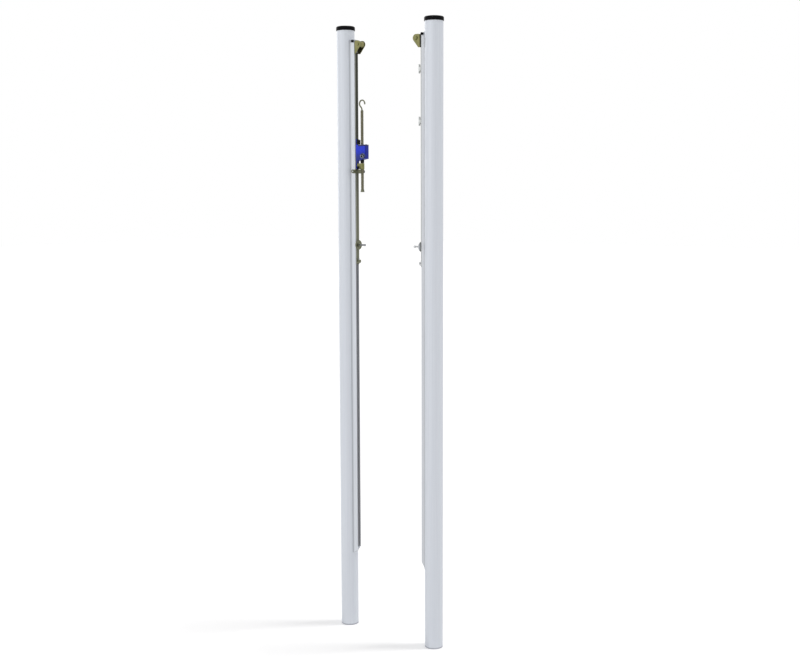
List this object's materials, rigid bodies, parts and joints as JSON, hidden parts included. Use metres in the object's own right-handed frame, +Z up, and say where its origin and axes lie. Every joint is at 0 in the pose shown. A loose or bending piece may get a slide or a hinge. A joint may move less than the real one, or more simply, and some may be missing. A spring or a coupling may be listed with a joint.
{
  "type": "volleyball net post pair",
  "caption": "Pair of aluminium volleyball posts with slotted rails, sliding net bars, a pulley block, a crank-driven spindle tensioner with hook, and cord cleats.",
  "frame": {"origin": "centre of the tension post's lower end face", "axes": "+Z up along the post, +X from the tension post to the anchor post, -Y towards the side that the crank's socket points to"},
  "size_m": [0.602, 0.094, 2.869],
  "materials": {
    "tube_aluminium": "satin anodised, fine vertical grain",
    "rail_aluminium": "satin anodised, extruded",
    "cleat_aluminium": "cast, satin",
    "black_plastic": "moulded, slight sheen",
    "black_rubber": "matt",
    "yellow_zinc": "yellow zinc plated, slightly iridescent",
    "olive_zinc": "olive zinc plated, satin",
    "blue_enamel": "gloss blue enamel on cast metal",
    "navy_enamel": "gloss dark blue enamel",
    "bronze": "turned bronze",
    "spindle_steel": "oiled threaded steel",
    "bare_steel": "zinc plated, turned",
    "foot_grey": "moulded grey end plug"
  },
  "bodies": {
    "posts": {"tension_tube": "tube_aluminium", "tension_cap": "black_plastic", "tension_foot_plug": "foot_grey", "tension_rail": "rail_aluminium", "tension_rail_screws": "bare_steel", "tension_rail_cap": "foot_grey", "tension_stop_screw": "black_plastic", "anchor_tube": "tube_aluminium", "anchor_cap": "black_plastic", "anchor_foot_plug": "foot_grey", "anchor_rail": "rail_aluminium", "anchor_rail_screws": "bare_steel", "anchor_rail_cap": "foot_grey", "anchor_stop_screw": "black_plastic"},
    "tension_slide": {"tension_slide_bar": "olive_zinc", "tension_slide_feet": "bare_steel", "tension_bar_screws": "bare_steel", "pulley_block": "yellow_zinc", "pulley_axle": "yellow_zinc", "tensioner_back_plate": "blue_enamel", "tensioner_buffer": "black_rubber", "tensioner_housing": "blue_enamel", "tensioner_cover": "navy_enamel", "tensioner_cover_screws": "bare_steel", "nut_bushes": "bronze", "crank_bush": "bronze", "spindle_wiper": "black_rubber", "guide_bracket": "yellow_zinc", "guide_key": "bare_steel", "plate_screws": "bare_steel", "lock_block": "olive_zinc", "tension_clamp_stud": "bare_steel", "tension_cord_hook": "olive_zinc"},
    "anchor_slide": {"anchor_slide_bar": "olive_zinc", "anchor_slide_feet": "bare_steel", "anchor_bar_screws": "bare_steel", "anchor_block": "yellow_zinc", "anchor_pin": "yellow_zinc", "anchor_cleats": "cleat_aluminium", "anchor_cleat_screws": "bare_steel", "anchor_clamp_stud": "bare_steel", "anchor_cord_hook": "bare_steel"},
    "pulley": {"pulley_sheave": "yellow_zinc", "pulley_bush": "bronze"},
    "crank": {"crank_worm": "bare_steel", "crank_socket": "bare_steel"},
    "nut": {"nut_wheel": "bronze"},
    "spindle": {"spindle": "spindle_steel", "spindle_stop": "olive_zinc"},
    "hook": {"spindle_hook": "olive_zinc"},
    "lock_screw": {"lock_eye_screw": "olive_zinc", "lock_nut": "black_plastic"},
    "tension_hand_nut": {"tension_hand_nut": "olive_zinc"},
    "anchor_hand_nut": {"anchor_hand_nut": "bare_steel"}
  },
  "joints": [
    {"name": "tension_height", "type": "slide", "parent": "posts", "child": "tension_slide", "axis": [0, 0, 1], "range_m": [-1.33, 0]},
    {"name": "anchor_height", "type": "slide", "parent": "posts", "child": "anchor_slide", "axis": [0, 0, 1], "range_m": [-1.33, 0]},
    {"name": "pulley_turn", "type": "hinge", "parent": "tension_slide", "child": "pulley", "pos_m": [0.088, 0, 2.782], "axis": [0, 1, 0], "continuous": true},
    {"name": "crank_turn", "type": "hinge", "parent": "tension_slide", "child": "crank", "pos_m": [0.1148, 0, 2.283], "axis": [0, -0.8576, -0.5143], "range_deg": [-12151, 17551]},
    {"name": "nut_turn", "type": "hinge", "parent": "tension_slide", "child": "nut", "pos_m": [0.097, 0, 2.283], "axis": [0, 0, 1], "range_deg": [-4051, 5851]},
    {"name": "spindle_travel", "type": "slide", "parent": "tension_slide", "child": "spindle", "axis": [0, 0, 1], "range_m": [-0.13, 0.09]},
    {"name": "hook_swivel", "type": "hinge", "parent": "spindle", "child": "hook", "pos_m": [0.097, 0, 2.478], "axis": [0, 0, 1], "continuous": true},
    {"name": "lock_screw_turn", "type": "hinge", "parent": "tension_slide", "child": "lock_screw", "pos_m": [0.0725, 0, 2.2], "axis": [0, 1, 0], "range_deg": [0, 720]},
    {"name": "tension_hand_nut_turn", "type": "hinge", "parent": "tension_slide", "child": "tension_hand_nut", "pos_m": [0.066, 0, 1.857], "axis": [1, 0, 0], "range_deg": [0, 1080]},
    {"name": "anchor_hand_nut_turn", "type": "hinge", "parent": "anchor_slide", "child": "anchor_hand_nut", "pos_m": [0.448, 0, 1.857], "axis": [-1, 0, 0], "range_deg": [0, 1080]}
  ],
  "couplings": [
    {"joint": "crank_turn", "follows": "spindle_travel", "rad_per_m": -2356.2},
    {"joint": "nut_turn", "follows": "spindle_travel", "rad_per_m": -785.4}
  ]
}
